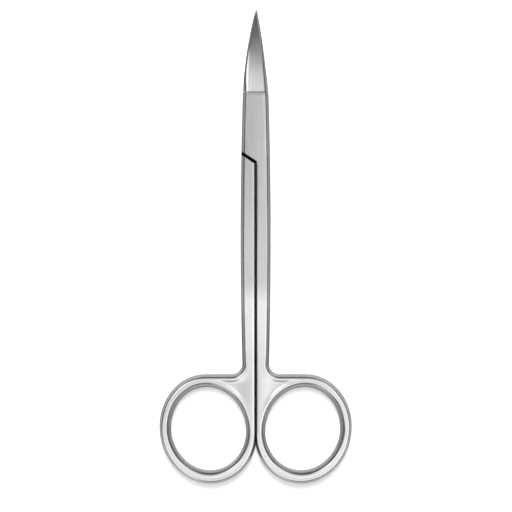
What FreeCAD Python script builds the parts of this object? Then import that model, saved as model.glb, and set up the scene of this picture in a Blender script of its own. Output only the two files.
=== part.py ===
import FreeCAD, Part

import math
import os

from FreeCAD import Vector

# Small surgical scissors, closed, lying on their finger rings and on the tip of the lower blade.
# Millimetres and degrees. X runs across, Y from the rings to the tips, Z up. Places along the scissors
# are first counted from the lowest edge of the rings; the whole is centred on the origin at the end.

# Whole scissors
overall_length = 115.0
thickness = 3.3
leg_gap = 0.2

# Finger rings
hole_length = 20.4
hole_width = 18.2
ring_tilt = 12.0
band_end = 3.05
band_side = 2.65
flat_trim = 0.45
edge_round = 1.05
crotch_radius = 2.6

# Legs, measured from the middle line to their outer edge
leg_half_width = 3.6
ridge_inset = 0.53
widest_before_ridge = 34.8

# Bends seen from the side: slopes of the middle surface and the lengths over which it bends
rise_before_ring_top = 1.4
rise_length = 21.0
leg_slope = 6.5
settle_length = 18.0
joint_slope = 3.5
joint_length = 18.8
blade_length = 21.1

# Lap joint
shoulder_from_joint_start = 2.57
shoulder_rise = 2.4
shoulder_gap = 0.55
lap_gap = 0.06
lap_bite = 1.4

# Blades
blade_gap = 0.14
gap_bulge_height = 0.02
blade_thickness = 1.45
tip_thickness = 0.4
tip_width = 0.34
tip_offset = 0.18
front_spine_bulge_height = 0.45
rear_spine_bulge_height = 0.16
edge_inset = 0.6
edge_bulge_height = 0.17
spine_chamfer = 0.38
bevel_width = 0.3
bevel_share_of_width = 0.3
edge_land = 0.1
blade_sections = 9

# Pivot screw
pivot_before_ridge = 7.3
head_diameter = 3.6
head_sunk = 0.04
shank_diameter = 2.4
thread_diameter = 2.0
thread_cover = 0.4
running_clearance = 0.03
seat_clearance = 0.015
slot_width = 0.45
slot_depth = 0.35

# Spare length of shapes that only cut or trim, and the widest miss that still counts as lying on a face
spare = 40.0
miss = 0.01
slope_rounds = 8

# Places along the scissors
ridge_y = overall_length - blade_length
joint_start_y = ridge_y - joint_length
shoulder_y = joint_start_y + shoulder_from_joint_start
pivot_y = ridge_y - pivot_before_ridge
leg_widest_y = ridge_y - widest_before_ridge


def rad(angle):
    return math.radians(angle)


# Finger ring: a tilted ellipse, whose reach across and along follows from its half axes
half_long = hole_length / 2 + band_end
half_short = hole_width / 2 + band_side
tilt_sine, tilt_cosine = math.sin(rad(ring_tilt)), math.cos(rad(ring_tilt))
ring_reach_x = math.hypot(half_short * tilt_cosine, half_long * tilt_sine)
ring_reach_y = math.hypot(half_long * tilt_cosine, half_short * tilt_sine)
ring_skew = (half_long ** 2 - half_short ** 2) * tilt_sine * tilt_cosine
inner_x = leg_gap / 2 - flat_trim
ring_x = inner_x + ring_reach_x
ring_y = ring_reach_y
ring_top_y = 2 * ring_reach_y

# Outer edge of a leg: one long arc, widest at leg_widest_y
ridge_half_width = leg_half_width - ridge_inset
leg_arc_radius = (widest_before_ridge ** 2 + ridge_inset ** 2) / (2 * ridge_inset)
leg_arc_centre = leg_half_width - leg_arc_radius


def leg_edge(y):
    """Distance of the leg's outer edge from the middle line."""
    return leg_arc_centre + math.sqrt(leg_arc_radius ** 2 - (y - leg_widest_y) ** 2)


def middle_sections():
    """The middle surface from the side: straight runs and arcs, each as start, height and slope, then end.

    The last arc is the blades'. It bends just so far that the lower blade's tip comes down to Z = 0.
    """
    rise_start_y = ring_top_y - rise_before_ring_top
    stops = [
        (rise_start_y, 0.0),
        (rise_start_y + rise_length, leg_slope),
        (joint_start_y - settle_length, leg_slope),
        (joint_start_y, joint_slope),
        (ridge_y, joint_slope),
    ]
    sections = []
    y, z, slope = -spare, thickness / 2, 0.0
    for y_end, slope_end in stops:
        sections.append((y, z, slope, y_end, slope_end))
        z += (y_end - y) * math.tan(rad(slope + slope_end) / 2)
        y, slope = y_end, slope_end
    tip_z = tip_thickness
    for _ in range(slope_rounds):
        fall = math.degrees(math.atan((z - tip_z) / blade_length))
        tip_slope = -2 * fall - slope
        tip_z = tip_thickness / math.cos(rad(tip_slope))
    sections.append((y, z, slope, overall_length, tip_slope))
    return sections


middle = middle_sections()


def middle_at(y):
    """Height and slope in radians of the middle surface at a place along the scissors."""
    for y0, z0, slope0, y1, slope1 in middle:
        if y <= y1:
            break
    sine0, sine1 = math.sin(rad(slope0)), math.sin(rad(slope1))
    slope = math.asin(sine0 + (y - y0) / (y1 - y0) * (sine1 - sine0))
    return z0 + (y - y0) * math.tan((rad(slope0) + slope) / 2), slope


def off_middle(y, offset):
    """A point at a distance from the middle surface, square to it, in the plane X = 0."""
    z, slope = middle_at(y)
    return Vector(0, y - offset * math.sin(slope), z + offset * math.cos(slope))


def distance_off(point):
    """How far a point lies from the middle surface, square to it."""
    y = point.y
    for _ in range(slope_rounds):
        z, slope = middle_at(y)
        away = (point.z - z) * math.cos(slope) - (point.y - y) * math.sin(slope)
        y = point.y + away * math.sin(slope)
    return away


def off_middle_run(y_start, y_end, offset):
    """The lines and arcs that run beside the middle surface from one place to another."""
    edges = []
    for y0, z0, slope0, y1, slope1 in middle:
        a, b = max(y0, y_start), min(y1, y_end)
        if b - a < miss:
            continue
        first, last = off_middle(a, offset), off_middle(b, offset)
        if slope0 == slope1:
            edges.append(Part.LineSegment(first, last).toShape())
        else:
            edges.append(Part.Arc(first, off_middle((a + b) / 2, offset), last).toShape())
    return edges


def layer(y_start, y_end, lower, upper):
    """A slab that follows the middle surface, between two distances from it."""
    below = off_middle_run(y_start, y_end, lower)
    above = off_middle_run(y_start, y_end, upper)
    ends = [
        Part.LineSegment(off_middle(y, lower), off_middle(y, upper)).toShape()
        for y in (y_start, y_end)
    ]
    outline = Part.Wire(Part.__sortEdges__(below + above + ends))
    slab = Part.Face(outline).extrude(Vector(2 * spare, 0, 0))
    slab.translate(Vector(-spare, 0, 0))
    return slab


def upright(edges):
    """The prism that stands on a flat outline and reaches past the scissors above and below."""
    prism = Part.Face(Part.Wire(Part.__sortEdges__(edges))).extrude(Vector(0, 0, 2 * spare))
    prism.translate(Vector(0, 0, -spare))
    return prism


def line(start, end):
    return Part.LineSegment(Vector(*start, 0), Vector(*end, 0)).toShape()


def arc(start, halfway, end):
    return Part.Arc(Vector(*start, 0), Vector(*halfway, 0), Vector(*end, 0)).toShape()


def leg_arc(side, y_start, y_end):
    """The stretch of the leg's outer edge between two places, on one side of the middle line."""
    stops = (y_start, (y_start + y_end) / 2, y_end)
    return arc(*[(side * leg_edge(y), y) for y in stops])


def ring_ellipse(side, long, short):
    """An ellipse about the ring's centre, its upper end leaning away from the middle line."""
    centre = Vector(side * ring_x, ring_y, 0)
    lean = Vector(side * tilt_sine, tilt_cosine, 0)
    square = Vector(-lean.y, lean.x, 0)
    return Part.Ellipse(centre + lean * long, centre + square * short, centre)


def ring_outline(side, nearest, topmost):
    """The ring's outer edge, from its point nearest the middle line round to its topmost point."""
    ellipse = ring_ellipse(side, half_long, half_short)
    ends = [ellipse.parameter(Vector(*point, 0)) for point in (nearest, topmost)][::side]
    if ends[1] < ends[0]:
        ends[1] += 2 * math.pi
    return Part.ArcOfEllipse(ellipse, *ends).toShape()


def leg_outline(side):
    """Outline of a leg and its ring. The crotch is an arc that touches the ring's level top and the leg."""
    nearest = (side * inner_x, ring_y - ring_skew / ring_reach_x)
    topmost = (side * (ring_x + ring_skew / ring_reach_y), ring_top_y)
    arc_y = ring_top_y + crotch_radius
    to_arc = leg_arc_radius + crotch_radius
    arc_x = leg_arc_centre + math.sqrt(to_arc ** 2 - (arc_y - leg_widest_y) ** 2)
    touch_y = leg_widest_y + (arc_y - leg_widest_y) * leg_arc_radius / to_arc
    eighth = crotch_radius * math.sqrt(0.5)
    return [
        ring_outline(side, nearest, topmost),
        line(topmost, (side * arc_x, ring_top_y)),
        arc((side * arc_x, ring_top_y), (side * (arc_x - eighth), arc_y - eighth),
            (side * leg_edge(touch_y), touch_y)),
        leg_arc(side, touch_y, ridge_y),
        line((side * ridge_half_width, ridge_y), (side * inner_x, ridge_y)),
        line((side * inner_x, ridge_y), nearest),
    ]


def on_outer_face(edge):
    """True for an edge that runs along the scissors on their upper or lower face."""
    first, last = edge.ParameterRange
    spots = [edge.valueAt(first + (last - first) * share) for share in (0.25, 0.5, 0.75)]
    across = all(abs(spot.y - ridge_y) < thickness / 2 for spot in spots)
    return not across and all(abs(abs(distance_off(spot)) - thickness / 2) < miss for spot in spots)


def leg_and_ring(side):
    """Full-thickness leg with its ring, its long edges rounded, then ground flat where the halves meet."""
    hole = upright([ring_ellipse(side, hole_length / 2, hole_width / 2).toShape()])
    blank = upright(leg_outline(side)).cut(hole)
    blank = blank.common(layer(-thickness, ridge_y + thickness, -thickness / 2, thickness / 2))
    blank = blank.makeFillet(edge_round, [edge for edge in blank.Edges if on_outer_face(edge)])
    ground = Part.makeBox(spare, overall_length, 2 * spare, Vector(0, 0, -spare))
    ground.translate(Vector(leg_gap / 2 - spare if side > 0 else -leg_gap / 2, 0, 0))
    return blank.cut(ground)


def shoulder(x, side):
    """Place of the slanting shoulder on this half's plate, which rises away from its own leg."""
    return shoulder_y - side * x * shoulder_rise / leg_half_width


def lap_plate(side):
    """Half-thickness plate that crosses over the other half, from its slanting shoulder to the ridge."""
    bite = side * lap_bite
    far_y = shoulder_y + shoulder_rise
    far_x = -side * leg_edge(far_y)
    outline = [
        line((bite, shoulder(bite, side)), (far_x, far_y)),
        leg_arc(-side, far_y, ridge_y),
        line((-side * ridge_half_width, ridge_y), (bite, ridge_y)),
        line((bite, ridge_y), (bite, shoulder(bite, side))),
    ]
    inside, outside = sorted((side * lap_gap / 2, side * thickness / 2))
    plate = upright(outline).common(layer(joint_start_y - lap_bite, ridge_y + thickness, inside, outside))
    far_edges = [
        edge for edge in plate.Edges
        if on_outer_face(edge) and -side * edge.CenterOfMass.x > leg_half_width / 2
    ]
    return plate.makeFillet(edge_round, far_edges)


def lap_room(side):
    """What is cut from a leg for the other half's plate to lie in, from its slanting shoulder on."""
    corners = [(x, shoulder(x, -side) - shoulder_gap) for x in (-leg_half_width * 2, leg_half_width * 2)]
    corners += [(x, ridge_y + spare) for x in (leg_half_width * 2, -leg_half_width * 2)]
    lower, upper = sorted((-side * 2 * thickness, side * lap_gap / 2))
    sides = [line(a, b) for a, b in zip(corners, corners[1:] + corners[:1])]
    return upright(sides).common(layer(joint_start_y - settle_length, ridge_y + thickness, lower, upper))


def bowed(share, start, end, bulge):
    """A value that runs from start to end with a bulge halfway."""
    return start + (end - start) * share + 4 * bulge * share * (1 - share)


def blade_section(side, share):
    """Six-cornered section of a blade in an upright plane across it."""
    y = ridge_y + blade_length * share
    z, slope = middle_at(y)
    bulge = front_spine_bulge_height if side > 0 else rear_spine_bulge_height
    half_tip = tip_width / 2
    spine = bowed(share, -side * ridge_half_width, tip_offset - side * half_tip, -side * bulge)
    ridge_edge = side * (ridge_half_width - edge_inset)
    edge = bowed(share, ridge_edge, tip_offset + side * half_tip, side * edge_bulge_height)
    outer = bowed(share, blade_thickness, tip_thickness, 0)
    inner = bowed(share, lap_gap / 2, blade_gap / 2, gap_bulge_height)
    widest_bevel = bevel_share_of_width * abs(edge - spine)
    chamfer = min(spine_chamfer, widest_bevel)
    bevel = min(bevel_width, widest_bevel)
    corners = [
        (spine, inner),
        (spine, outer - chamfer * (outer - inner) / blade_thickness),
        (spine + side * chamfer, outer),
        (edge - side * bevel, outer),
        (edge, inner + edge_land),
        (edge, inner),
    ]
    ring = [Vector(x, y, z + side * offset / math.cos(slope)) for x, offset in corners]
    return Part.makePolygon(ring + ring[:1])


def blade(side):
    """Curved blade, ground thinner towards its tip, with a chamfered spine and a bevelled cutting edge."""
    shares = [step / (blade_sections - 1) for step in range(blade_sections)]
    return Part.makeLoft([blade_section(side, share) for share in shares], True, False)


def at_pivot(shape):
    """Takes a shape made about the Z axis, with the lap at Z = 0, to the pivot and tips it square to it."""
    z, slope = middle_at(pivot_y)
    shape.rotate(Vector(0, 0, 0), Vector(1, 0, 0), math.degrees(slope))
    shape.translate(Vector(0, pivot_y, z))
    return shape


def stem(diameter, low, high):
    return Part.makeCylinder(diameter / 2, high - low, Vector(0, 0, low))


def countersink(wide, narrow, low):
    """A square-angled cone, wide below and narrow above."""
    return Part.makeCone(wide / 2, narrow / 2, (wide - narrow) / 2, Vector(0, 0, low))


head_low = head_sunk - thickness / 2
thread_end = thickness / 2 - thread_cover


def pivot_screw():
    """Slotted countersunk screw: its head in the rear half, its thread in a blind hole of the front half."""
    screw = countersink(head_diameter, shank_diameter, head_low)
    screw = screw.fuse(stem(shank_diameter, head_low, lap_gap / 2))
    screw = screw.fuse(stem(thread_diameter, 0, thread_end))
    slot = Part.makeBox(2 * head_diameter, slot_width, 2 * slot_depth)
    slot.translate(Vector(-head_diameter, -slot_width / 2, head_low - slot_depth))
    return at_pivot(screw.cut(slot).removeSplitter())


def threaded_hole():
    return at_pivot(stem(thread_diameter + 2 * seat_clearance, -thickness, thread_end + seat_clearance))


def bearing_hole():
    """Running hole for the shank, with the countersink for the head."""
    spread = 2 * running_clearance
    hole = stem(shank_diameter + spread, -thickness, thickness)
    sink = countersink(head_diameter + spread + 2 * head_sunk, shank_diameter + spread, -thickness / 2)
    return at_pivot(hole.fuse(sink))


def half(side, hole):
    """One forging. Side is 1 for the half with its leg at +X and its plate on top, -1 for the other."""
    body = leg_and_ring(side).cut(lap_room(side))
    body = body.fuse(lap_plate(side)).fuse(blade(side))
    return body.cut(hole).removeSplitter()


nodes = {
    "front_half": half(1, threaded_hole()),
    "rear_half": half(-1, bearing_hole()),
    "pivot_screw": pivot_screw(),
}

os.makedirs("parts", exist_ok=True)
for name, shape in nodes.items():
    solid = shape.Solids[0] if len(shape.Solids) == 1 else shape
    solid.translate(Vector(0, -overall_length / 2, 0))
    solid.exportStep(f"parts/{name}.step")
    print(name, "solids", len(shape.Solids), "valid", solid.isValid(), "volume", round(solid.Volume, 2))

pivot_z, pivot_slope = middle_at(pivot_y)
print("pivot", round(pivot_y - overall_length / 2, 4), round(pivot_z, 4),
      "axis", round(-math.sin(pivot_slope), 6), round(math.cos(pivot_slope), 6))
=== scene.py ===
# %% [markdown]
# # Small curved surgical scissors, seen from straight above
#
# The frame below holds the three solids of the scissors as they were built for motion: two forgings that
# cross at a lap joint, and the screw that they turn on. This lesson models both forgings again as fine
# grid surfaces with softly rounded edges, and gives every piece the look of ground and polished steel.

import math

import bmesh
import bpy
import numpy as np
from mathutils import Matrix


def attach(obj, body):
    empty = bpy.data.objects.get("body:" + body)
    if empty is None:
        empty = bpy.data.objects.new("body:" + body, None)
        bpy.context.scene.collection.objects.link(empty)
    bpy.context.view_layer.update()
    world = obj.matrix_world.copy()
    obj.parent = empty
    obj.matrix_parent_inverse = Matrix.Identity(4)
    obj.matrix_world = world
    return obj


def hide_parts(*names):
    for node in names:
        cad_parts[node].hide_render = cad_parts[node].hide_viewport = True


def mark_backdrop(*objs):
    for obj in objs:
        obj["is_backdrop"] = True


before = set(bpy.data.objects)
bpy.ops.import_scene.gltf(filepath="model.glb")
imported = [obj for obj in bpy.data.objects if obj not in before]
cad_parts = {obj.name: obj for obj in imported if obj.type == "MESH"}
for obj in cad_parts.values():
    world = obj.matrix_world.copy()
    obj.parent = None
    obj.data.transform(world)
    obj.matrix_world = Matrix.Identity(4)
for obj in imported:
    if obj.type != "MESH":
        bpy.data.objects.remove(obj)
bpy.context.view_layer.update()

# %% [markdown]
# ## Camera
#
# The scissors lie on a table and the camera looks straight down on them from 30 cm. That near, the view
# still has some perspective: we see a little of the walls inside the finger rings, and parts that lie
# higher look larger. A camera far above would be simpler to line up, but it would lose both.

# %% Camera
MM = 0.001
camera_distance = 300 * MM
frame_width = 124.2 * MM
camera_x, camera_y, sharp_height = 0.08 * MM, -2.4 * MM, 2 * MM
nearest_seen = 10 * MM

camera = bpy.data.objects.new("camera", bpy.data.cameras.new("camera"))
camera.location = (camera_x, camera_y, sharp_height + camera_distance)
camera.data.angle = 2 * math.atan(frame_width / 2 / camera_distance)
camera.data.clip_start = nearest_seen
bpy.context.scene.collection.objects.link(camera)
bpy.context.scene.camera = camera
print("field of view", round(math.degrees(camera.data.angle), 1), "degrees")

# %% [markdown]
# ## One drawing for both halves
#
# Both halves of such scissors are forged in the same die, and one of them is turned over. So we need one
# drawing only. It is flat: x runs from the middle line to the half's own side, y from the bottom of the
# ring to the tip, and the offset says how far a point stands above the half's middle surface. Everything
# is in millimetres. The drawing is bent into its curve from the side at the very end.

# %% Sizes of the drawing
scissors_length, half_thickness, lap = 115.0, 1.65, 0.03
hole_long, hole_short, ring_tilt = 10.2, 9.1, math.radians(12)
band_at_ends, band_at_sides = 3.05, 2.65
ground_x, blank_x = 0.015, -0.35
ridge_y, joint_y, widest_y, pivot_y = 93.9, 75.1, 59.1, 86.6
leg_width, leg_narrowing = 3.6, 0.53
crotch_radius = 2.6
print("blade length", round(scissors_length - ridge_y, 2), "mm")

# %% Where the ring lies
ring_long, ring_short = hole_long + band_at_ends, hole_short + band_at_sides
reach_x = math.hypot(ring_short * math.cos(ring_tilt), ring_long * math.sin(ring_tilt))
reach_y = math.hypot(ring_long * math.cos(ring_tilt), ring_short * math.sin(ring_tilt))
ring_x, ring_y, ring_top = blank_x + reach_x, reach_y, 2 * reach_y
print("ring", round(2 * reach_x, 2), "by", round(2 * reach_y, 2), "mm, its middle at", round(ring_x, 2))

# %% The leg's outer edge and its crotch
leg_radius = ((ridge_y - widest_y) ** 2 + leg_narrowing ** 2) / (2 * leg_narrowing)
crotch_y = ring_top + crotch_radius


def leg_edge(y):
    """Half width of the closed legs: a very long arc, widest at widest_y."""
    return leg_width - leg_radius + np.sqrt(leg_radius ** 2 - (y - widest_y) ** 2)


crotch_x = leg_width - leg_radius + math.sqrt((leg_radius + crotch_radius) ** 2 - (crotch_y - widest_y) ** 2)
cut_y = widest_y + (crotch_y - widest_y) * leg_radius / (leg_radius + crotch_radius)
print("crotch at", round(crotch_x, 2), round(crotch_y, 2), "and the ring ends at y", round(cut_y, 2))

# %% [markdown]
# ## The curve from the side
#
# Seen from the side the rings lie flat on the table, the legs rise, the joint rises a little less, and the
# blades curve back down until their tip touches the table. We could bend a straight model with a curve
# modifier, but runs whose slope changes evenly give the height as a formula, and the screw needs it too.

# %% The middle surface, run by run
rise_before_ring_top, rise_length, settle_length = 1.4, 21, 18
leg_slope, joint_slope = 6.5, 3.5
tip_half_height = 0.4
below_rings, slope_rounds = -10.0, 8


def middle_runs():
    """Start, height and slope there, end and slope there; the last run brings the tip to the table."""
    rise_y = ring_top - rise_before_ring_top
    stops = [(rise_y, 0.0), (rise_y + rise_length, leg_slope), (joint_y - settle_length, leg_slope),
             (joint_y, joint_slope), (ridge_y, joint_slope)]
    runs, y, z, slope = [], below_rings, half_thickness, 0.0
    for y_end, slope_end in stops:
        runs.append((y, z, slope, y_end, slope_end))
        z += (y_end - y) * math.tan(math.radians(slope + slope_end) / 2)
        y, slope = y_end, slope_end
    tip_z = tip_half_height
    for _ in range(slope_rounds):
        tip_slope = -2 * math.degrees(math.atan((z - tip_z) / (scissors_length - ridge_y))) - slope
        tip_z = tip_half_height / math.cos(math.radians(tip_slope))
    runs.append((y, z, slope, scissors_length, tip_slope))
    return np.array(runs)


runs = middle_runs()
print("height of the ridge", round(runs[-1, 1], 2), "mm, slope of the tip", round(runs[-1, 4], 1), "degrees")


# %% Height and slope anywhere
def middle(y):
    """Height and slope of the middle surface: the sine of the slope grows evenly along each run."""
    run = runs[np.clip(np.searchsorted(runs[:, 3], y), 0, len(runs) - 1)]
    y0, z0, slope0, y1, slope1 = np.moveaxis(run, -1, 0)
    sine0, sine1 = np.sin(np.radians(slope0)), np.sin(np.radians(slope1))
    slope = np.arcsin(sine0 + (y - y0) / (y1 - y0) * (sine1 - sine0))
    return z0 + (y - y0) * np.tan((np.radians(slope0) + slope) / 2), slope


def bend(x, y, offset):
    """Places a point of the drawing: its offset is measured square to the middle surface."""
    z, slope = middle(y)
    return np.stack([x, y - scissors_length / 2, z + offset / np.cos(slope)], axis=-1)


def ease(value, low, high):
    """Rises smoothly from 0 at low to 1 at high: 3t^2 - 2t^3."""
    t = np.clip((value - low) / (high - low), 0, 1)
    return t * t * (3 - 2 * t)


print("middle surface at the pivot", round(float(middle(np.array(pivot_y))[0]), 3), "mm high")

# %% [markdown]
# ## The outline
#
# The forging's blank has one smooth outline: round the ring, up the inner edge, which is later ground
# straight, and down the outer edge into the crotch. We keep it as a dense line of points with the
# direction that points into the steel, because every edge's rounding is measured from it.


# %% The ring's ellipse
def ellipse(turn, long, short):
    """Points of a leaning ellipse about the ring's middle, clockwise from its upper end."""
    up, out = long * np.cos(turn), short * np.sin(turn)
    sine, cosine = math.sin(ring_tilt), math.cos(ring_tilt)
    return np.stack([ring_x + up * sine + out * cosine, ring_y + up * cosine - out * sine], axis=-1)


top_turn = 2 * math.pi - math.atan(ring_short / ring_long * math.tan(ring_tilt))
inner_turn = math.pi + math.atan(ring_short / ring_long / math.tan(ring_tilt))
ground_turn = inner_turn - math.acos((ring_x - ground_x) / reach_x)
print("turns", [round(math.degrees(t), 1) for t in (top_turn, inner_turn, ground_turn)])


# %% The blank's outline
def spread(start, end, count):
    """Points spread evenly on a straight line, without its last point."""
    share = np.arange(count)[:, None] / count
    return np.array(start) * (1 - share) + np.array(end) * share


# Rough lengths of the outline's stretches, which say how many points each of them gets
around_ring, around_crotch, level_top, past_ridge = 70, 4.1, 6, 5


def blank_outline(step=0.08):
    """Outline to just past the ridge and back, clockwise from the ring's top, with the inward normals."""
    turn = np.linspace(top_turn - 2 * math.pi, inner_turn, int(around_ring / step))
    crotch_turn = np.linspace(math.pi, 1.5 * math.pi, int(around_crotch / step))
    y_up = np.arange(ellipse(inner_turn, ring_long, ring_short)[1], ridge_y + past_ridge, step)
    y_down = np.arange(ridge_y + past_ridge, cut_y, -step)
    crotch = crotch_radius * np.stack([np.cos(crotch_turn), np.sin(crotch_turn)], axis=-1)
    parts = [
        ellipse(turn, ring_long, ring_short),
        np.stack([np.full_like(y_up, blank_x), y_up], axis=-1),
        np.stack([leg_edge(y_down), y_down], axis=-1),
        crotch + (crotch_x, crotch_y),
        spread((crotch_x, ring_top), ellipse(top_turn, ring_long, ring_short), int(level_top / step)),
    ]
    points = np.concatenate(parts)
    is_inner = np.concatenate([np.full(len(part), index == 1) for index, part in enumerate(parts)])
    tangent = np.roll(points, -1, axis=0) - np.roll(points, 1, axis=0)
    normal = np.stack([tangent[:, 1], -tangent[:, 0]], axis=-1)
    normal /= np.linalg.norm(normal, axis=-1, keepdims=True)
    return points, normal, is_inner


outline, outline_normal, outline_inner = blank_outline()
print("outline of", len(outline), "points")

# %% [markdown]
# ## Rounded edges
#
# A bevel modifier rounds every edge alike. Here the roundings differ from place to place, and the bright
# and dark lines that they mirror are what the eye follows on polished steel. So each edge drops away from
# the flat by a formula: a tight arc turns down by forty degrees, then a wide arc runs on to the side.

# %% The drop of an edge
tight_turn = math.radians(40)


def edge_drop(distance, width, tight, wide):
    """Depth below the flat at a distance from the edge: an arc of radius tight, then one of radius wide."""
    reach = np.clip(width - distance, 0, width)
    sine, cosine = math.sin(tight_turn), math.cos(tight_turn)
    first = tight - np.sqrt(np.maximum(tight ** 2 - reach ** 2, 0))
    from_top = np.sqrt(np.maximum(wide ** 2 - (reach + (wide - tight) * sine) ** 2, 0))
    second = tight * (1 - cosine) + wide * cosine - from_top
    return np.where(reach < tight * sine, first, second)


def mixed(first, second, share):
    """Rounding between two others: each of its three sizes goes evenly from one to the other."""
    return [a + (b - a) * share for a, b in zip(first, second)]


print("a 1 mm rounding is", round(float(edge_drop(0.0, 1.0, 0.6, 1.85)), 2), "mm deep at the edge")

# %% The roundings of this half: width, tight radius, wide radius
ring_side_round, ring_top_round = (0.89, 0.6, 1.5), (1.18, 0.8, 2.0)
hole_side_round, hole_top_round = (1.18, 0.7, 2.2), (1.35, 0.7, 3.3)
leg_round = (1.0, 0.6, 1.85)
ground_round = (1.118, 1.20, 1.20)
ground_band = ground_round[0] + blank_x - ground_x
# The stretches of y over which one rounding goes over into the next
side_to_top, top_to_leg, side_to_ground, hole_side_to_top = (13, 24), (25, 32), (5, 11), (15, 20)


def outer_drop(distance, y):
    """Drop beside the outer edge: narrow below the ring, wide on its top, then that of the leg."""
    ring = mixed(ring_side_round, ring_top_round, ease(y, *side_to_top))
    return edge_drop(distance, *mixed(ring, leg_round, ease(y, *top_to_leg)))


def inner_drop(distance, y):
    """Drop beside the inner edge, whose rounding was ground away in part where the halves meet."""
    return edge_drop(distance, *mixed(ring_side_round, ground_round, ease(y, *side_to_ground)))


def hole_drop(distance, y):
    """Drop beside the finger hole, wider at its top."""
    return edge_drop(distance, *mixed(hole_side_round, hole_top_round, ease(y, *hole_side_to_top)))


print("flank left beside the gap", round(ground_band, 3), "mm wide")

# %% [markdown]
# ## The ring
#
# The ring with the root of its leg is a closed section carried round the finger hole. Its columns start on
# the hole and end on the outer edge, and where the leg grows out of it they end on a straight cut that the
# leg joins. Between the ring and the leg the die leaves a shallow hollow, which catches a softer light.


# %% Heights on the ring
def nearest(points, line, block=1500):
    """Index of the line's point nearest to each given point, worked out in blocks to save memory."""
    found = [((part[:, None] - line[None]) ** 2).sum(-1).argmin(1)
             for part in np.array_split(points, max(1, len(points) // block))]
    return np.concatenate(found)


def hole_line(turn):
    """Points on the finger hole's edge, and the direction from each of them straight into the ring."""
    normal = ellipse(turn, hole_short, hole_long) - (ring_x, ring_y)
    return ellipse(turn, hole_long, hole_short), normal / np.linalg.norm(normal, axis=-1, keepdims=True)


hole_edge, hole_normal = hole_line(np.linspace(0, 2 * math.pi, 1200, endpoint=False))
hollow_depth = 0.23
# The hollow deepens away from the hole, the outer edge and the gap, and ends a little way up the leg
from_hole, from_edge, from_gap, up_leg = (1.2, 2.4), (0.9, 2.1), (0.8, 5.0), (24.3, 27.3)


def ring_height(points):
    """Half thickness, less the drop beside the nearest outer edge and hole edge, less the hollow."""
    x, y = points.T
    index = nearest(points, outline)
    distance = np.maximum(((points - outline[index]) * outline_normal[index]).sum(-1), 0)
    drop = np.where(outline_inner[index], inner_drop(distance, y), outer_drop(distance, y))
    index = nearest(points, hole_edge)
    inward = np.maximum(((points - hole_edge[index]) * hole_normal[index]).sum(-1), 0)
    hollow = hollow_depth * ease(inward, *from_hole) * ease(distance, *from_edge) * ease(x, *from_gap)
    return half_thickness - drop - hole_drop(inward, y) - hollow * (1 - ease(y, *up_leg))


print("ring height at its widest", ring_height(np.array([[ring_x + reach_x - 1.3, ring_y]])).round(2))

# %% Places across a band
edge_steps, most_of_width = (np.arange(11) / 10) ** 1.3, 0.85


def across(left, right, left_band, right_band, flat_count=10):
    """Places between two edges, crowded into the rounded band beside each of them."""
    left, right, left_band, right_band = np.broadcast_arrays(left, right, left_band, right_band)
    fit = np.minimum(1, most_of_width * (right - left) / (left_band + right_band))[..., None]
    left_part = left[..., None] + left_band[..., None] * fit * edge_steps
    right_part = right[..., None] - right_band[..., None] * fit * edge_steps[::-1]
    start, end = left_part[..., -1:], right_part[..., :1]
    flat_steps = np.arange(1, flat_count) / flat_count
    return np.concatenate([left_part, start + (end - start) * flat_steps, right_part], axis=-1)


print("places across", across(0.0, 3.0, 1.0, 1.0).shape[-1])

# %% The ring's columns
crotch_end_turn, corner_turn, cut_turn = (math.radians(angle) for angle in (315.3, 291.5, 278.0))
ring_count, flank_count, crotch_count, top_count = 260, 60, 30, 24


def ring_columns():
    """Turn where each line across the ring leaves the hole, its outer end, and whether that is on the cut."""
    round_ring = np.linspace(top_turn - 2 * math.pi, ground_turn, ring_count, endpoint=False)
    low = ellipse(ground_turn, ring_long, ring_short)
    cut_x = across(ground_x, leg_edge(cut_y), ground_band, leg_round[0])
    bow = np.linspace(math.pi, 1.5 * math.pi, crotch_count)[1:]
    crotch = crotch_radius * np.stack([np.cos(bow), np.sin(bow)], axis=-1) + (crotch_x, crotch_y)
    top = spread((crotch_x, ring_top), ellipse(top_turn, ring_long, ring_short), top_count)[1:]
    ends = [
        ellipse(round_ring, ring_long, ring_short),
        spread((ground_x, low[1]), (ground_x, cut_y), flank_count),
        np.stack([cut_x, np.full_like(cut_x, cut_y)], axis=-1),
        crotch,
        top,
    ]
    turns = [
        round_ring,
        ground_turn + (cut_turn - ground_turn) * np.arange(flank_count) / flank_count,
        cut_turn + (corner_turn - cut_turn) * np.linspace(0, 1, len(cut_x)),
        corner_turn + (crotch_end_turn - corner_turn) * np.arange(1, crotch_count) / (crotch_count - 1),
        crotch_end_turn + (top_turn - crotch_end_turn) * np.arange(1, top_count) / top_count,
    ]
    on_cut = np.concatenate([np.full(len(part), index == 2) for index, part in enumerate(ends)])
    return np.concatenate(turns), np.concatenate(ends), on_cut


print("columns round the ring", len(ring_columns()[0]))


# %% The ring's grid
hole_band, outer_band, ring_flat_count = 1.4, 1.5, 16


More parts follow.
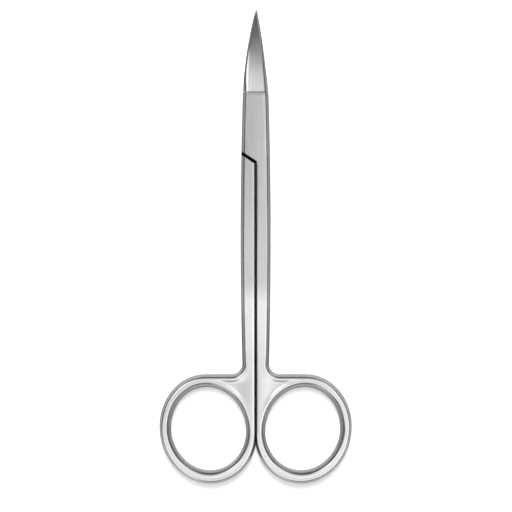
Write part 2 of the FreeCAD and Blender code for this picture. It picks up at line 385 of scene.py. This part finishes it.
def ring_grid():
    """Closed sections round the hole: over the face, down the wall, back under. The cut has no wall."""
    turn, end, on_cut = ring_columns()
    foot, normal = hole_line(turn)
    length = np.linalg.norm(end - foot, axis=-1)
    straight = ((end - foot) * normal).sum(-1) / length
    places = across(np.zeros_like(length), length, hole_band / straight, outer_band, ring_flat_count)
    share = places / length[:, None]
    flat = foot[:, None] + (end - foot)[:, None] * share[..., None]
    height = ring_height(flat.reshape(-1, 2)).reshape(share.shape)
    x, y = flat[..., 0], flat[..., 1]
    wall = np.full((len(end), 1), lap)
    xs = np.concatenate([x, x[:, -1:], x[:, ::-1], x[:, :1]], axis=1)
    ys = np.concatenate([y, y[:, -1:], y[:, ::-1], y[:, :1]], axis=1)
    offsets = np.concatenate([height, wall, -height[:, ::-1], wall], axis=1)
    count = share.shape[1]
    keep = np.ones(xs.shape, bool)
    keep[:, count - 1:count + 1] = ~(on_cut & np.roll(on_cut, -1))[:, None]
    return xs, ys, offsets, keep


print("ring grid", ring_grid()[0].shape)

# %% [markdown]
# ## The leg and the joint
#
# A saw cut across the leg shows a closed section, and stations along y carry it up to the blade. At the
# joint the upper layer widens to the far side and the lower layer ends, both along slanting shoulders.
# A corner of the section that moves evenly from station to station draws such a shoulder without a Boolean.

# %% Stations along the leg
shoulder_y, shoulder_rise, shoulder_gap = 77.67, 2.4, 0.55
shoulder_slope = leg_width / shoulder_rise
root_end, root_count, fine_start, fine_end = 34, 14, 76.7, 80.5
coarse, fine = 0.6, 0.1


def leg_stations():
    """Values of y: dense at the crotch and at the shoulders, and one on each corner of the shoulders."""
    y = np.concatenate([
        cut_y + (np.arange(root_count) / root_count) ** 1.5 * (root_end - cut_y),
        np.arange(root_end, fine_start, coarse), np.arange(fine_start, fine_end, fine),
        np.arange(fine_end, ridge_y - coarse / 2, coarse),
    ])
    kinks = [shoulder_y - shoulder_gap + ground_x / shoulder_slope, shoulder_y - ground_x / shoulder_slope]
    y = np.unique(np.round(np.concatenate([y, kinks, [ridge_y]]), 6))
    y[0] = cut_y
    return y


print("stations", len(leg_stations()))

# %% The leg's grid
crown_radius, crown_rise, lap_count = 40, (55, 75), 9


def leg_grid():
    """Sections at the stations: upper face, outer wall, lower face, and the lap between the layers."""
    y = leg_stations()
    right = leg_edge(y)
    plate_left = np.clip((shoulder_y - y) * shoulder_slope, -right, ground_x)
    step_left = np.clip((y - shoulder_y + shoulder_gap) * shoulder_slope, ground_x, right)
    end = np.searchsorted(step_left - right, 0)
    y, right, plate_left, step_left = (np.insert(v, end, v[end]) for v in (y, right, plate_left, step_left))
    gone = np.arange(len(y)) > end
    left_band = ground_band + (leg_round[0] - ground_band) * ease(y, shoulder_y - 0.1, shoulder_y + 2.2)
    top_x = across(plate_left, right, left_band, leg_round[0])
    ys = np.broadcast_to(y[:, None], top_x.shape)
    ground = inner_drop(np.maximum(top_x - blank_x, 0), ys)
    ground = ground * (1 - ease(ys, shoulder_y - 0.7, shoulder_y - 0.1))
    drop = np.maximum(outer_drop(right[:, None] - top_x, ys), outer_drop(top_x + right[:, None], ys))
    crown = top_x ** 2 / (2 * crown_radius) * ease(ys, *crown_rise)
    top = half_thickness - np.maximum(drop, ground) - crown
    low_x = across(step_left, right, ground_band, leg_round[0])
    low_drop = np.maximum(outer_drop(right[:, None] - low_x, ys), inner_drop(low_x - blank_x, ys))
    low = np.where(gone[:, None], -lap, half_thickness - low_drop)
    lap_x = step_left[:, None] + (plate_left - step_left)[:, None] * np.linspace(0, 1, lap_count)
    wall = np.full((len(y), 1), lap)
    xs = np.concatenate([top_x, right[:, None], low_x[:, ::-1], lap_x], axis=1)
    offsets = np.concatenate([top, wall, -low[:, ::-1], np.full_like(lap_x, lap)], axis=1)
    return xs, np.broadcast_to(y[:, None], xs.shape), offsets


print("leg grid", leg_grid()[0].shape)

# %% [markdown]
# ## The blade
#
# Past the ridge the half is hollowed to blade thickness. Its section has a rounded spine, a slightly crowned
# face and a narrow honed bevel, and it shrinks to a rounded needle tip. The spine bows outwards and the lap
# face is a hair hollow, so that the edges meet only at the point that cuts.

# %% The blade's grid
blade_thickness, tip_thickness, edge_inset, edge_bulge = 1.45, 0.4, 0.6, 0.17
cove_length, cove_height, bevel_width, edge_land = 0.34, 0.2, 0.3, 0.1
spine_radius, blade_crown_radius, crown_edge, tip_length = 1.4, 45, 1.5, 0.17
tip_lap, lap_bulge, lap_hollow = 0.07, 0.02, 0.12
widest_spine_share, widest_bevel_share = 0.45, 0.3
ridge_length, ridge_count, blade_count, tip_count = 0.36, 10, 60, 5
spine_width_at = ([0, 3, 8, 13, 21.1], [1.28, 0.94, 0.80, 0.72, 0.2])


def bowed(share, start, end, bulge):
    """Goes evenly from start to end, and stands off that line by the bulge halfway."""
    return start + (end - start) * share + 4 * bulge * share * (1 - share)


def blade_grid(spine_end, edge_end, spine_bulge):
    """Sections from the ridge to the tip, then five that shrink like a quarter turn and close the point."""
    blade = scissors_length - ridge_y
    past_ridge_along = ridge_length + (blade - ridge_length) * np.linspace(0, 1, blade_count)[1:]
    along = np.concatenate([np.linspace(0, ridge_length, ridge_count), past_ridge_along])
    share = along / blade
    spine = bowed(share, leg_narrowing - leg_width, spine_end, -spine_bulge)
    edge = bowed(share, leg_width - leg_narrowing - edge_inset, edge_end, edge_bulge)
    outer = bowed(share, blade_thickness, tip_thickness, 0)
    outer = outer + cove_height * (1 - ease(along, 0.02, cove_length))
    inner = bowed(share, lap, tip_lap, lap_bulge)
    width = edge - spine
    band = np.minimum(np.interp(along, *spine_width_at), widest_spine_share * width)
    bevel = np.minimum(bevel_width, widest_bevel_share * width)
    x = across(spine, edge, band, bevel)
    top = outer[:, None] - edge_drop(x - spine[:, None], band[:, None], spine_radius, spine_radius)
    top = top - np.clip(crown_edge - x, 0, None) ** 2 / (2 * blade_crown_radius)
    near_edge = np.clip((x - (edge - bevel)[:, None]) / bevel[:, None], 0, 1)
    top = top + (inner + edge_land - outer)[:, None] * near_edge
    slide = np.linspace(0, 1, lap_count)
    lap_x = edge[:, None] + (spine - edge)[:, None] * slide
    lap_offset = inner[:, None] + lap_hollow * slide * (1 - slide) * np.minimum(1, width / 2)[:, None]
    one = np.ones((1, x.shape[1]))
    xs = np.concatenate([x, edge[:, None], edge[:, None] * one, lap_x], axis=1)
    offsets = np.concatenate([top, inner[:, None] + edge_land / 2, inner[:, None] * one, lap_offset], axis=1)
    ys = np.repeat((ridge_y + along)[:, None], xs.shape[1], axis=1)
    ys[-1] -= tip_length
    turn = np.linspace(0, math.pi / 2, tip_count + 1)[1:, None]
    point_x, point_offset = (spine_end + edge_end) / 2, (tip_thickness + tip_lap) / 2
    xs = np.concatenate([xs, point_x + (xs[-1] - point_x) * np.cos(turn)])
    offsets = np.concatenate([offsets, point_offset + (offsets[-1] - point_offset) * np.cos(turn)])
    return xs, np.concatenate([ys, ys[-1] + tip_length * np.sin(turn)]), offsets


blade_ends = {"front": (0.01, 0.35, 0.45), "rear": (-0.35, -0.01, 0.16)}
print("blade grid", blade_grid(*blade_ends["front"])[0].shape)

# %% [markdown]
# ## From grids to a closed piece
#
# The grids share their edges point for point, so merging doubles welds them into one skin. The rear half
# is the same drawing with x and offset turned round, which turns it over without turning it inside out.


# %% Points and faces of a half
def quads(rows, columns, first, wrap_rows, keep=None):
    """Corner numbers of the faces between neighbouring rows and columns; the columns close on themselves."""
    index = first + np.arange(rows * columns).reshape(rows, columns)
    along = np.roll(index, -1, axis=0)
    faces = np.stack([index, np.roll(index, -1, axis=1), np.roll(along, -1, axis=1), along], axis=-1)
    if not wrap_rows:
        faces = faces[:-1]
    faces = faces.reshape(-1, 4)
    return faces if keep is None else faces[keep.reshape(-1)]


def half_grid(body):
    """All points and faces of one half, in millimetres; the rear one is turned over about the middle line."""
    side = 1 if body == "front" else -1
    ring, leg, blade = ring_grid(), leg_grid(), blade_grid(*blade_ends[body])
    x, y, offset = (np.concatenate([leg[part], blade[part]]) for part in range(3))
    points = [bend(side * ring[0], ring[1], side * ring[2]).reshape(-1, 3),
              bend(side * x, y, side * offset).reshape(-1, 3)]
    faces = [quads(*ring[0].shape, 0, True, ring[3])[:, ::-1], quads(*x.shape, ring[0].size, False)]
    return np.concatenate(points), np.concatenate(faces)


print("points of a half", len(half_grid("front")[0]))

# %% Weld into a mesh object
weld_distance, sliver = 0.003 * MM, 0.0001 * MM


def welded(name, points, faces):
    """A closed mesh object from points in millimetres, with doubles merged and empty faces dropped."""
    mesh = bpy.data.meshes.new(name)
    mesh.from_pydata((points * MM).tolist(), [], faces.tolist())
    shape = bmesh.new()
    shape.from_mesh(mesh)
    bmesh.ops.delete(shape, geom=[v for v in shape.verts if not v.link_faces], context="VERTS")
    bmesh.ops.remove_doubles(shape, verts=shape.verts, dist=weld_distance)
    bmesh.ops.dissolve_degenerate(shape, dist=sliver, edges=shape.edges)
    open_edges = sum(len(edge.link_faces) != 2 for edge in shape.edges)
    volume = shape.calc_volume(signed=True) / MM ** 3
    print(name, "faces", len(shape.faces), "open edges", open_edges, "volume", round(volume, 1), "mm3")
    shape.to_mesh(mesh)
    shape.free()
    piece = bpy.data.objects.new(name, mesh)
    bpy.context.scene.collection.objects.link(piece)
    return piece


front = welded("front_forging", *half_grid("front"))
rear = welded("rear_forging", *half_grid("rear"))

# %% [markdown]
# ## The screw's holes
#
# The screw goes through the rear half, where its head sits in a countersink, and ends blind in the front
# half. Its holes are the one place where a Boolean is simplest: a turned drill leaves a clean bore in a
# grid that knows nothing of it. The result is kept as plain mesh, and the drill is thrown away.

# %% Turned drills
# Radius and height of each corner in millimetres, counted from the pivot's axis and from the lap
drill_profiles = {
    "front": [(0, -0.5), (1.015, -0.5), (1.015, 1.265), (0, 1.265)],
    "rear": [(0, -2.2), (1.87, -2.2), (1.87, -1.65), (1.23, -1.01), (1.23, 0.5), (0, 0.5)],
}


def lathe(profile, count=96):
    """Turns a profile of radius and height about the Z axis; both its ends lie on the axis."""
    radius, height = np.array(profile).T
    turn = np.linspace(0, 2 * math.pi, count, endpoint=False)[:, None]
    points = np.stack([radius * np.cos(turn), radius * np.sin(turn), height + 0 * turn], axis=-1)
    index = np.arange(points.shape[0] * points.shape[1]).reshape(points.shape[:2])
    along = np.roll(index, -1, axis=0)
    faces = np.stack([index[:, :-1], along[:, :-1], along[:, 1:], index[:, 1:]], axis=-1)
    return points.reshape(-1, 3), faces.reshape(-1, 4)


def at_pivot(points):
    """Tips points made about the Z axis square to the lap, and takes them to the pivot."""
    z, slope = middle(np.array(pivot_y))
    sine, cosine = math.sin(slope), math.cos(slope)
    x, y, up = points.T
    y_along = y * cosine - up * sine + pivot_y - scissors_length / 2
    return np.stack([x, y_along, y * sine + up * cosine + z], axis=-1)


print("drill radii", [max(radius for radius, _ in profile) for profile in drill_profiles.values()])


# %% Drill the halves
def drilled(piece, profile):
    """Cuts a turned hole at the pivot with an exact Boolean, and keeps only its result."""
    points, faces = lathe(profile)
    drill = welded(piece.name + "_drill", at_pivot(points), faces)
    cut = piece.modifiers.new("bore", "BOOLEAN")
    cut.operation, cut.solver, cut.object = "DIFFERENCE", "EXACT", drill
    result = bpy.data.meshes.new_from_object(piece.evaluated_get(bpy.context.evaluated_depsgraph_get()))
    piece.modifiers.clear()
    piece.data = result
    bpy.data.objects.remove(drill)


drilled(front, drill_profiles["front"])
drilled(rear, drill_profiles["rear"])
print("faces after drilling", len(front.data.polygons), len(rear.data.polygons))

# %% [markdown]
# ## The walls inside the gap
#
# The walls that face the other half are ground and never polished, and little light reaches them, so they
# are painted nearly black as painted shade, most of all below the slits at the shoulders. The faces that
# slide on each other get a lighter painted shade and stay grey. The inner faces of the blades are darker too,
# partly from their duller ground finish and partly as painted shade beside the front blade. A number stored
# with every vertex tells the material where they are. We work it out from the drawing, so it stays with the
# steel when the scissors open.

# %% How dark a point of the drawing is
# Painted shade: how dark the walls and faces between the halves are painted.
wall_fade, shoulder_fade, slit_fade, lap_reach = (0.24, 0.38), (0.10, 0.26), (0.4, 0.8), 0.12
joint_lap_shade, blade_lap_shade, blade_lap_fade = 0.35, 0.42, (97, 108)
shoulder_reach, shoulder_margin, flank_reach, lap_edge_fade = 3, 0.2, 0.3, (0.1, 0.3)


def gap_shade(x, y, offset):
    """1 on walls that face the other half, 0 elsewhere, and between on the inner faces of the blades."""
    shade = np.where(y < shoulder_y, 1 - ease(x, *wall_fade), 0.0)
    steep = math.hypot(1, shoulder_slope)
    by_shoulder = y < shoulder_y + shoulder_reach
    plate = (x - (shoulder_y - y) * shoulder_slope) / steep
    near_plate = (offset > lap) & (y > shoulder_y - shoulder_margin) & by_shoulder
    near_plate = near_plate & (x < ground_x + flank_reach)
    shade = np.where(near_plate, np.maximum(shade, 1 - ease(plate, *shoulder_fade)), shade)
    step = (x - (y - shoulder_y + shoulder_gap) * shoulder_slope) / steep
    near_step = (offset < -lap) & (y > shoulder_y - shoulder_gap - shoulder_margin) & by_shoulder
    shade = np.where(near_step, np.maximum(shade, 1 - ease(step, *shoulder_fade)), shade)
    inside = joint_lap_shade * ease(leg_edge(np.minimum(y, ridge_y)) - np.abs(x), *lap_edge_fade)
    below_slit = 1 - ease(np.abs(step + shoulder_gap / 2 * shoulder_slope / steep), *slit_fade)
    inside = np.where((y > shoulder_y - 1) & by_shoulder, np.maximum(inside, below_slit), inside)
    lapped = np.abs(offset) < lap_reach
    shade = np.where(lapped & (y < ridge_y - 0.1), np.maximum(shade, inside), shade)
    return np.where(lapped & (y >= ridge_y), blade_lap_shade * (1 - ease(y, *blade_lap_fade)), shade)


print("shade in the gap and on the face", gap_shade(*np.array([[0.1, 2.0], [50, 50], [1.0, 1.6]])))


# %% Store it, and smooth the skin
wall_range, tipward_painted_light, tipward_range = (0.5, 0.93), 0.22, (0.0, 0.9)


def mark(piece, side):
    """Stores two numbers with every vertex: its gap_shade, and 1 on side walls against 0 on the faces, less
    where walls look towards the tips, as painted light.
    """
    flat = np.empty(len(piece.data.vertices) * 3)
    piece.data.vertices.foreach_get("co", flat)
    x, y, z = flat.reshape(-1, 3).T / MM
    y = y + scissors_length / 2
    height, slope = middle(y)
    shade = gap_shade(side * x, y, side * (z - height) * np.cos(slope))
    piece.data.attributes.new("gap_shade", "FLOAT", "POINT").data.foreach_set("value", shade)
    piece.data.vertex_normals.foreach_get("vector", flat)
    _, ahead, up = flat.reshape(-1, 3).T
    # Walls that look towards the tips get a lighter painted tone: painted light.
    wall = (1 - ease(np.abs(up), *wall_range)) * (1 - tipward_painted_light * ease(ahead, *tipward_range))
    piece.data.attributes.new("wall", "FLOAT", "POINT").data.foreach_set("value", wall)
    print(piece.name, "mean shade", round(float(shade.mean()), 3), "mean wall", round(float(wall.mean()), 3))


def smooth(piece, sharp_angle=math.radians(38)):
    """Smooth shading, except across edges that turn by more than the given angle."""
    piece.data.polygons.foreach_set("use_smooth", np.ones(len(piece.data.polygons), bool))
    piece.data.set_sharp_from_angle(angle=sharp_angle)


for piece, side in ((front, 1), (rear, -1)):
    mark(piece, side)
    smooth(piece)

# %% Hand the halves to the frame
for piece, body in ((front, "front"), (rear, "rear")):
    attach(piece, body)
    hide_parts(body + "_half")
print("halves ride on", "front and rear")

# %% [markdown]
# ## Shader maths as Python
#
# A node tree for brushed metal soon has dozens of Math nodes. A small class that wraps a socket and
# overloads the arithmetic operators lets us write the formula itself, and adds the nodes behind it.


# %% A socket that can be calculated with
class Term:
    """An output socket in a node tree. Arithmetic on it adds Math nodes and gives a new Term."""

    def __init__(self, tree, socket):
        self.tree = tree
        self.socket = socket

    def node(self, kind, settings=None, inputs=None, output=0):
        """Adds a node of that kind: its settings first, then each input's value or link."""
        new = self.tree.nodes.new(kind)
        for name, value in (settings or {}).items():
            if name == "stops":
                ramp = new.color_ramp
                while len(ramp.elements) < len(value):
                    ramp.elements.new(0.5)
                for element, (place, grey) in zip(ramp.elements, value):
                    element.position = place
                    element.color = (grey, grey, grey, 1)
            else:
                setattr(new, name, value)
        for key, value in (inputs or {}).items():
            if isinstance(value, Term):
                self.tree.links.new(value.socket, new.inputs[key])
            else:
                new.inputs[key].default_value = value
        return Term(self.tree, new.outputs[output])

    def math(self, operation, *values):
        return self.node("ShaderNodeMath", {"operation": operation}, dict(enumerate(values)))

    def __add__(self, other):
        return self.math("ADD", self, other)

    def __radd__(self, other):
        return self.math("ADD", other, self)

    def __sub__(self, other):
        return self.math("SUBTRACT", self, other)

    def __rsub__(self, other):
        return self.math("SUBTRACT", other, self)

    def __mul__(self, other):
        return self.math("MULTIPLY", self, other)

    def __rmul__(self, other):
        return self.math("MULTIPLY", other, self)

    def __truediv__(self, other):
        return self.math("DIVIDE", self, other)

    def __abs__(self):
        return self.math("ABSOLUTE", self)

    def length(self, other):
        """Length of the arrow whose two parts are this value and the other."""
        return self.math("SQRT", self * self + other * other)

    def between(self, low, high):
        """Rises smoothly from 0 where the value is low to 1 where it is high."""
        settings = {"interpolation_type": "SMOOTHSTEP"}
        return self.node("ShaderNodeMapRange", settings, {"Value": self, "From Min": low, "From Max": high})

    def ramp(self, stops):
        """Grey that follows the given stops as the value runs from 0 to 1."""
        return self.node("ShaderNodeValToRGB", {"stops": stops}, {0: self})

    def split(self):
        """The three parts of a vector."""
        return [self.node("ShaderNodeSeparateXYZ", None, {0: self}, part) for part in range(3)]

    def join(self, x, y, z):
        """A vector from three values."""
        return self.node("ShaderNodeCombineXYZ", None, {0: x, 1: y, 2: z})

    def noise(self, scale=1.0, detail=2.0):
        """Soft random pattern over the places that this vector gives."""
        return self.node("ShaderNodeTexNoise", None, {"Vector": self, "Scale": scale, "Detail": detail})

    def bump(self):
        """The surface's normal, tipped as if this value were its height in millimetres."""
        return self.node("ShaderNodeBump", None, {"Strength": 1.0, "Distance": MM, "Height": self})

    def tint(self, first, second):
        """A colour that goes from the first to the second as this value goes from 0 to 1."""
        return self.node("ShaderNodeMix", {"data_type": "RGBA"}, {0: self, 6: first, 7: second}, 2)


print("Term has", len([name for name in vars(Term) if name.startswith("__")]), "special methods")


# %% A new finish
def new_finish(name):
    """A material, its shader node and its Object coordinates as a Term."""
    material = bpy.data.materials.new(name)
    material.use_nodes = True
    tree = material.node_tree
    coordinates = Term(tree, None).node("ShaderNodeTexCoord", output="Object")
    return material, tree.nodes["Principled BSDF"], coordinates


def wire(material, shader, sockets):
    """Links each Term to the shader's socket of that name, and sets plain values on it."""
    for name, value in sockets.items():
        if isinstance(value, Term):
            material.node_tree.links.new(value.socket, shader.inputs[name])
        else:
            shader.inputs[name].default_value = value


print("finishes so far", len(bpy.data.materials))

# %% [markdown]
# ## Satin steel
#
# Surgical steel is ground along its length, then polished. The grain that is left is far finer than the
# camera sees, but it smears reflections across it, so it goes into the bump. On the rings it runs round the
# hole. The box joint is left satin, which is easier on the eye under a theatre lamp, and the handles and the
# blades are polished brighter. The side walls are painted a darker tone, as painted shade for the dark
# surroundings that they mirror. The painted shade is deepest beside the crotch, and the walls are painted a
# little lighter where they look towards the tips, as painted light. The walls in the gap are painted nearly
# black. The Specular Tint holds back what the steel mirrors at a grazing angle, because the walls would
# otherwise take on the white of the floor.

# %% Where the steel is polished
half_length = scissors_length / 2
polished, satin = (0.92, 0.92, 0.925, 1), (0.67, 0.67, 0.675, 1)
# The wall and crotch tones and the black are painted shade; polished and satin are the steel's own finishes.
wall_shade_tone, crotch_shade_tone, gap_shade_black = (0.18, 0.18, 0.183, 1), (0.05, 0.05, 0.052, 1), (0.012, 0.012, 0.012, 1)
grazing = (0.65, 0.65, 0.65, 1)
crotch_fade = (-31.0, -28.5, -24.0, -9.0)
handle_end, joint_start, joint_end = -14.5, -8.0, ridge_y - half_length
print("the joint is satin from y", joint_start, "to", round(joint_end, 1), "mm")


# %% The grain of the grinding belt
grain_per_mm, leg_stretch, ring_stretch, grain_fade = 9, 0.35, 0.5, 2


def belt_grain(x, y, z):
    """Noise drawn out along the legs and round the rings, and a mask that is 1 on the legs."""
    from_ring = (abs(x) - ring_x).length(y + (half_length - ring_y))
    on_leg = y.between(ring_top - half_length - grain_fade, crotch_y - half_length + grain_fade)
    leg_grain = x.join(x * grain_per_mm, y * leg_stretch, z * grain_per_mm).noise()
    ring_grain = x.join(from_ring * grain_per_mm, x * ring_stretch, y * ring_stretch).noise()
    return ring_grain + (leg_grain - ring_grain) * on_leg, on_leg


print("grain lines are about", round(1 / grain_per_mm, 2), "mm apart")


# %% Satin steel
smoothest, grain_height, wave_height, scratch_depth = 0.08, 0.006, 0.025, 0.002


def satin_steel():
    """Steel whose tone follows polish, with painted shade on the walls and in the gap, belt grain, hand marks
    and fine scratches.
    """
    material, shader, coordinates = new_finish("satin_steel")
    x, y, z = (part / MM for part in coordinates.split())
    grain, on_leg = belt_grain(x, y, z)
    waves = x.join(x * 2, y * 0.03, 0.0).noise(detail=1.0) * on_leg
    hand_marks = x.join(x, y, z).noise(0.35, 3.0)
    scratches = x.join(x * 5 + y * 0.4, y * 0.12, z * 5).noise().between(0.70, 0.76)
    # Painted shade: the side walls take a darker tone, darkest beside the crotch.
    wall = coordinates.node("ShaderNodeAttribute", {"attribute_name": "wall"}, output="Fac")
    crotch_shade = y.between(*crotch_fade[:2]) * (1 - y.between(*crotch_fade[2:]))
    joint = y.between(handle_end, joint_start) * (1 - y.between(joint_end - 0.1, joint_end + 0.1))
    # Painted shade: the gap_shade number darkens the colour to nearly black between the halves.
    shade = coordinates.node("ShaderNodeAttribute", {"attribute_name": "gap_shade"}, output="Fac")
    face = joint.tint(polished, satin)
    tone = (wall * 0.95 + (1 - hand_marks) * 0.10).tint(face, crotch_shade.tint(wall_shade_tone, crotch_shade_tone))
    roughness = smoothest + grain * 0.08 + hand_marks * 0.06 + joint * 0.06
    height = grain * grain_height + waves * wave_height - scratches * scratch_depth
    wire(material, shader, {
        "Base Color": shade.tint(tone, gap_shade_black),
        "Roughness": roughness + wall * 0.1 + scratches * 0.1 + shade * 0.3,
        "Normal": height.bump(),
        "Metallic": 1.0,
        "Specular Tint": grazing,
    })
    return material


steel = satin_steel()
for piece in (front, rear):
    piece.data.materials.append(steel)
print("steel on", front.name, "and", rear.name)

# %% [markdown]
# ## The screw's steel
#
# The screw is turned on a lathe, so its head shows fine circles about its middle, and its slot a little
# wear. It keeps its solid from the frame, because a turned screw has nothing that a grid would do better.


# %% Screw steel
tool_marks_per_mm, tool_mark_height = 14, 0.005


def screw_steel():
    """Turned steel: rings of noise about the pivot, a little duller and rougher than the forgings."""
    material, shader, coordinates = new_finish("screw_steel")
    x, y, z = (part / MM for part in coordinates.split())
    from_pivot = x.length(y - (pivot_y - half_length))
    tool_marks = x.join(from_pivot * tool_marks_per_mm, z * 0.5, 0.0).noise()
    wear = x.join(x, y, z).noise(1.5, 3.0)
    wire(material, shader, {
        "Base Color": wear.tint((0.58, 0.58, 0.59, 1), (0.72, 0.72, 0.73, 1)),
        "Roughness": 0.16 + tool_marks * 0.10 + wear * 0.08,
        "Normal": (tool_marks * tool_mark_height).bump(),
        "Metallic": 1.0,
    })
    return material


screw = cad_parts["pivot_screw"]
screw.data.materials.clear()
screw.data.materials.append(screw_steel())
print("screw finished:", screw.name)

# %% [markdown]
# ## Floor
#
# A plain white sheet, large enough to fill the view except from very low sides, which see past its far
# edge. It is matt, because a shiny table would mirror the scissors.

# %% Floor
floor_size, floor_white = 4000 * MM, (0.95, 0.95, 0.95, 1)


def plain_floor():
    """One square face just under the scissors."""
    half = floor_size / 2
    mesh = bpy.data.meshes.new("floor")
    corners = np.array([[-half, -half, 0], [half, -half, 0], [half, half, 0], [-half, half, 0]])
    mesh.from_pydata(corners.tolist(), [], [(0, 1, 2, 3)])
    sheet = bpy.data.objects.new("floor", mesh)
    bpy.context.scene.collection.objects.link(sheet)
    material, shader, _ = new_finish("floor_white")
    wire(material, shader, {"Base Color": floor_white, "Roughness": 1.0, "Specular IOR Level": 0.0})
    mesh.materials.append(material)
    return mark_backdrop(sheet)


plain_floor()
print("floor", floor_size, "m wide")

# %% [markdown]
# ## Light
#
# Polished steel shows its surroundings more than itself. The world is a soft dome: bright overhead and at
# the horizon, and dim between them. It is darker at both sides and behind, and darkest ahead, in the part
# that the bent tips mirror. Two bright panels draw the light lines along the edges. Two large lamps, one
# nearly overhead and one leaning from beyond the tips, light the floor and lay the soft shadow below the
# rings. They stay out of reflections, which belong to the dome.

# %% Dome
horizon_to_overhead = [(0.0, 0.75), (0.16, 0.60), (0.3, 0.27), (0.454, 0.22), (0.602, 0.26),
                       (0.731, 0.32), (0.839, 0.43), (0.914, 0.63), (0.966, 0.72), (0.998, 0.75)]
panel_glow, panel_line = 0.15, 0.35
glow_range, line_range, panel_end = (0.0, 0.26), (0.14, 0.28), (0.58, 0.66)
# Where the dome is darker: towards which side, by what share, and from where to where that share is reached
darker = [("left", 0.4, 0.55, 0.75), ("right", 0.5, 0.55, 0.75), ("left", 0.3, -0.02, 0.25),
          ("ahead", 0.3, 0.74, 0.92), ("ahead", 0.65, 0.93, 0.975), ("behind", 0.35, 0.5, 0.8)]


def panel(sideways, strength):
    """A tall bright panel on one side: a faint glow from overhead on, and a clear inner edge."""
    light = sideways.between(*glow_range) * panel_glow + sideways.between(*line_range) * panel_line
    return light * (1 - sideways.between(*panel_end)) * strength


def dome_light(direction):
    """How bright the dome is in each direction."""
    right, ahead, up = direction.split()
    left, behind = 0 - right, 0 - ahead
    towards = {"left": left, "right": right, "ahead": ahead, "behind": behind}
    dome = up.ramp(horizon_to_overhead)
    for name, share, low, high in darker:
        dome = dome * (1 - share * towards[name].between(low, high))
    dome = dome + 0.23 * behind.between(0.07, 0.2) * up.between(0.8, 0.95)
    dome = dome + 0.15 * behind.between(0.26, 0.36) * (1 - behind.between(0.5, 0.7))
    not_low = 1 - abs(ahead).between(0.55, 0.75)
    window = 1.8 * ahead.between(0.0, 0.05) * (1 - ahead.between(0.55, 0.75))
    below_floor = (0 - up).between(-0.01, 0.02)
    return dome + panel(right, not_low) + panel(left, behind.between(0.12, 0.2) + window) + 0.8 * below_floor


print("dome is", horizon_to_overhead[-1][1], "bright overhead")

# %% World
held_from_matt_things = 0.75
world = bpy.data.worlds.new("studio")
world.use_nodes = True
bpy.context.scene.world = world
tree = world.node_tree
tree.nodes.clear()
start = Term(tree, None)
light = dome_light(start.node("ShaderNodeTexCoord", output="Generated"))
on_matt_things = start.node("ShaderNodeLightPath", output="Is Diffuse Ray")
strength = 1.0 - held_from_matt_things * on_matt_things
background = start.node("ShaderNodeBackground", None, {"Color": light, "Strength": strength})
out = tree.nodes.new("ShaderNodeOutputWorld")
tree.links.new(background.socket, out.inputs["Surface"])
print("world nodes", len(tree.nodes))

# %% Lamps
lamp_distance, lamp_width = 6.0, 0.4
lamps = {"overhead": (6, 1.0, 215), "far_side": (36, 3.0, 255)}

for name, (lean, length, power) in lamps.items():
    lean = math.radians(lean)
    lamp = bpy.data.objects.new(name, bpy.data.lights.new(name, "AREA"))
    lamp.data.shape = "RECTANGLE"
    lamp.data.size, lamp.data.size_y = lamp_width, length
    lamp.data.energy = power
    lamp.location = (0, lamp_distance * math.sin(lean), lamp_distance * math.cos(lean))
    lamp.rotation_euler = (-lean, 0, 0)
    lamp.visible_glossy = False
    bpy.context.scene.collection.objects.link(lamp)
print("lamps", sorted(lamps))

# %% [markdown]
# ## Finish
#
# The Standard view keeps colours as they are set.

# %% Finish
bpy.context.scene.view_settings.view_transform = "Standard"
